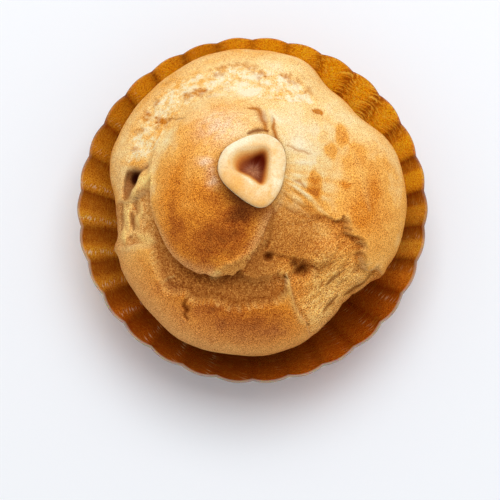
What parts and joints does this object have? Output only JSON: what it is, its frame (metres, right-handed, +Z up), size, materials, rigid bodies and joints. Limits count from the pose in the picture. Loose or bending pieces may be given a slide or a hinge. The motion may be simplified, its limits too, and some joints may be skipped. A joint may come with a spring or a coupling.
{
  "type": "cream puff",
  "caption": "Round choux bun with a torn golden crust and a raised crown, topped with a hazelnut half and sitting in a thin fluted amber case.",
  "frame": {"origin": "middle of the case's underside, on the surface it stands on", "axes": "+Z up; the picture looks steeply down from -Y, with +X to its right"},
  "size_m": [0.0738, 0.0734, 0.0484],
  "materials": {
    "amber_case": "translucent, glossy, finely ribbed",
    "choux_crust": "baked, matt, pale to brown",
    "hazelnut": "blanched, smooth"
  },
  "bodies": {
    "root": {"pastry_case": "amber_case", "choux_bun": "choux_crust", "hazelnut_half": "hazelnut"}
  },
  "joints": []
}
